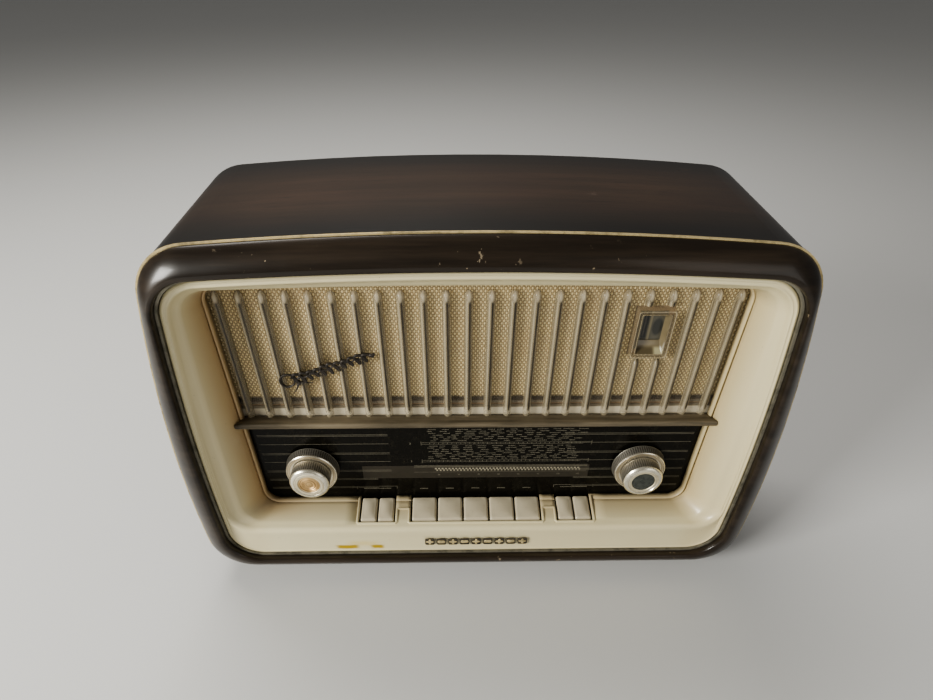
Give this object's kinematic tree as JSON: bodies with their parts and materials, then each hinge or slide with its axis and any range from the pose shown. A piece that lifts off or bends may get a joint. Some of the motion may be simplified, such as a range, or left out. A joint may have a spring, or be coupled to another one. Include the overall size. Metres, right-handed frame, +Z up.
{
  "type": "tabletop valve radio",
  "caption": "Tabletop valve radio: bowed wooden cabinet, ivory front with ribbed cloth grille and tuning eye, glass dial with twin coaxial knobs and piano keys.",
  "frame": {"origin": "middle of the footprint, on the surface that the feet stand on", "axes": "+Z up, the front with dial and knobs faces -Y, +X to the right seen from the front"},
  "size_m": [0.5306, 0.211, 0.3556],
  "materials": {
    "walnut": "satin lacquer",
    "dark_walnut": "gloss lacquer",
    "gold_line": "worn gold",
    "pewter_line": "dull metal",
    "ivory": "aged gloss ivory",
    "clear_plastic": "clear",
    "speaker_cloth": "basket weave",
    "plywood": "plain",
    "bar_plastic": "satin",
    "dark_metal": "aged",
    "dial_glass": "black printed glass",
    "steel": "zinc plated",
    "pointer_red": "satin red",
    "lamp_glass": "clear",
    "knob_metal": "knurled and polished",
    "cap_gold": "turned rings",
    "cap_dark": "polished",
    "chassis_steel": "grey",
    "transformer_iron": "varnished",
    "valve_glass": "clear",
    "can_aluminium": "matt",
    "cone_paper": "paper",
    "ferrite": "matt",
    "eye_glass": "dark glass",
    "back_board": "pressed board",
    "rubber": "matt",
    "key_plastic": "aged grey ivory"
  },
  "bodies": {
    "cabinet": {"aerial_bracket": "steel", "back_cover": "back_board", "back_screws": "steel", "baffle_board": "plywood", "brackets": "steel", "cabinet_wrap": "walnut", "cans": "can_aluminium", "chassis": "chassis_steel", "controls": "steel", "cord_grommet": "rubber", "dial_glass": "dial_glass", "dial_lamps": "lamp_glass", "dial_reflector": "ivory", "divider_bar": "bar_plastic", "emblem": "dark_metal", "eye_tube": "eye_glass", "eye_window": "clear_plastic", "feet": "rubber", "front_frame": "dark_walnut", "front_mask": "ivory", "grille_foot_strip": "ivory", "grille_panel": "clear_plastic", "inner_trim": "pewter_line", "key_rack": "steel", "mains_transformer": "transformer_iron", "ornament_row": "gold_line", "outer_gold_trim": "gold_line", "output_transformer": "transformer_iron", "plinth": "dark_walnut", "pointer_rail": "steel", "socket_plate": "bar_plastic", "speaker_basket": "chassis_steel", "speaker_cloth": "speaker_cloth", "speaker_magnet": "transformer_iron", "tuner_frame": "can_aluminium", "valves": "valve_glass"},
    "tone_ring": {"tone_ring": "knob_metal", "tone_shaft": "steel"},
    "volume_knob": {"volume_knob": "knob_metal", "volume_cap": "cap_gold", "volume_shaft": "steel"},
    "aerial_ring": {"aerial_ring": "knob_metal", "aerial_shaft": "steel"},
    "tuning_knob": {"tuning_knob": "knob_metal", "tuning_cap": "cap_dark", "tuning_shaft": "steel"},
    "pointer": {"dial_pointer": "pointer_red"},
    "tuner_rotor": {"tuner_rotor": "can_aluminium", "cord_drum": "bar_plastic"},
    "ferrite_rod": {"ferrite_rod": "ferrite"},
    "cone": {"speaker_cone": "cone_paper"},
    "wide_key_1": {"wide_key_1": "key_plastic"},
    "wide_key_2": {"wide_key_2": "key_plastic"},
    "wide_key_3": {"wide_key_3": "key_plastic"},
    "wide_key_4": {"wide_key_4": "key_plastic"},
    "wide_key_5": {"wide_key_5": "key_plastic"},
    "narrow_key_1": {"narrow_key_1": "key_plastic"},
    "narrow_key_2": {"narrow_key_2": "key_plastic"},
    "narrow_key_3": {"narrow_key_3": "key_plastic"},
    "narrow_key_4": {"narrow_key_4": "key_plastic"}
  },
  "joints": [
    {"name": "tone_turn", "type": "hinge", "parent": "cabinet", "child": "tone_ring", "pos_m": [-0.156, -0.0615, 0.115], "axis": [0, 1, 0], "range_deg": [-135, 135]},
    {"name": "volume_turn", "type": "hinge", "parent": "cabinet", "child": "volume_knob", "pos_m": [-0.156, -0.0615, 0.115], "axis": [0, 1, 0], "range_deg": [-140, 140]},
    {"name": "aerial_turn", "type": "hinge", "parent": "cabinet", "child": "aerial_ring", "pos_m": [0.156, -0.0615, 0.115], "axis": [0, 1, 0], "range_deg": [-90, 90]},
    {"name": "tuning_turn", "type": "hinge", "parent": "cabinet", "child": "tuning_knob", "pos_m": [0.156, -0.0615, 0.115], "axis": [0, 1, 0], "range_deg": [-540, 540]},
    {"name": "pointer_slide", "type": "slide", "parent": "cabinet", "child": "pointer", "axis": [1, 0, 0], "range_m": [-0.108, 0.108]},
    {"name": "rotor_turn", "type": "hinge", "parent": "cabinet", "child": "tuner_rotor", "pos_m": [0.04, 0.0085, 0.115], "axis": [0, 1, 0], "range_deg": [-90, 90]},
    {"name": "ferrite_turn", "type": "hinge", "parent": "cabinet", "child": "ferrite_rod", "pos_m": [0.12, 0.00785, 0.312], "axis": [0, 0, 1], "range_deg": [-45, 45]},
    {"name": "cone_travel", "type": "slide", "parent": "cabinet", "child": "cone", "axis": [0, 1, 0], "range_m": [-0.001, 0.001], "stiffness_N_per_m": 1500},
    {"name": "wide_key_1_press", "type": "hinge", "parent": "cabinet", "child": "wide_key_1", "pos_m": [0, -0.0175, 0.058], "axis": [1, 0, 0], "range_deg": [0, 6], "stiffness_Nm_per_rad": 0.5, "springref_deg": -11.46},
    {"name": "wide_key_2_press", "type": "hinge", "parent": "cabinet", "child": "wide_key_2", "pos_m": [0, -0.0175, 0.058], "axis": [1, 0, 0], "range_deg": [0, 6], "stiffness_Nm_per_rad": 0.5, "springref_deg": -11.46},
    {"name": "wide_key_3_press", "type": "hinge", "parent": "cabinet", "child": "wide_key_3", "pos_m": [0, -0.0175, 0.058], "axis": [1, 0, 0], "range_deg": [0, 6], "stiffness_Nm_per_rad": 0.5, "springref_deg": -11.46},
    {"name": "wide_key_4_press", "type": "hinge", "parent": "cabinet", "child": "wide_key_4", "pos_m": [0, -0.0175, 0.058], "axis": [1, 0, 0], "range_deg": [0, 6], "stiffness_Nm_per_rad": 0.5, "springref_deg": -11.46},
    {"name": "wide_key_5_press", "type": "hinge", "parent": "cabinet", "child": "wide_key_5", "pos_m": [0, -0.0175, 0.058], "axis": [1, 0, 0], "range_deg": [0, 6], "stiffness_Nm_per_rad": 0.5, "springref_deg": -11.46},
    {"name": "narrow_key_1_press", "type": "hinge", "parent": "cabinet", "child": "narrow_key_1", "pos_m": [0, -0.0175, 0.058], "axis": [1, 0, 0], "range_deg": [0, 6], "stiffness_Nm_per_rad": 0.5, "springref_deg": -11.46},
    {"name": "narrow_key_2_press", "type": "hinge", "parent": "cabinet", "child": "narrow_key_2", "pos_m": [0, -0.0175, 0.058], "axis": [1, 0, 0], "range_deg": [0, 6], "stiffness_Nm_per_rad": 0.5, "springref_deg": -11.46},
    {"name": "narrow_key_3_press", "type": "hinge", "parent": "cabinet", "child": "narrow_key_3", "pos_m": [0, -0.0175, 0.058], "axis": [1, 0, 0], "range_deg": [0, 6], "stiffness_Nm_per_rad": 0.5, "springref_deg": -11.46},
    {"name": "narrow_key_4_press", "type": "hinge", "parent": "cabinet", "child": "narrow_key_4", "pos_m": [0, -0.0175, 0.058], "axis": [1, 0, 0], "range_deg": [0, 6], "stiffness_Nm_per_rad": 0.5, "springref_deg": -11.46}
  ],
  "couplings": [
    {"joint": "pointer_slide", "follows": "tuning_turn", "m_per_rad": 0.011459},
    {"joint": "rotor_turn", "follows": "tuning_turn", "ratio": 0.16667},
    {"joint": "ferrite_turn", "follows": "aerial_turn", "ratio": 0.5}
  ]
}
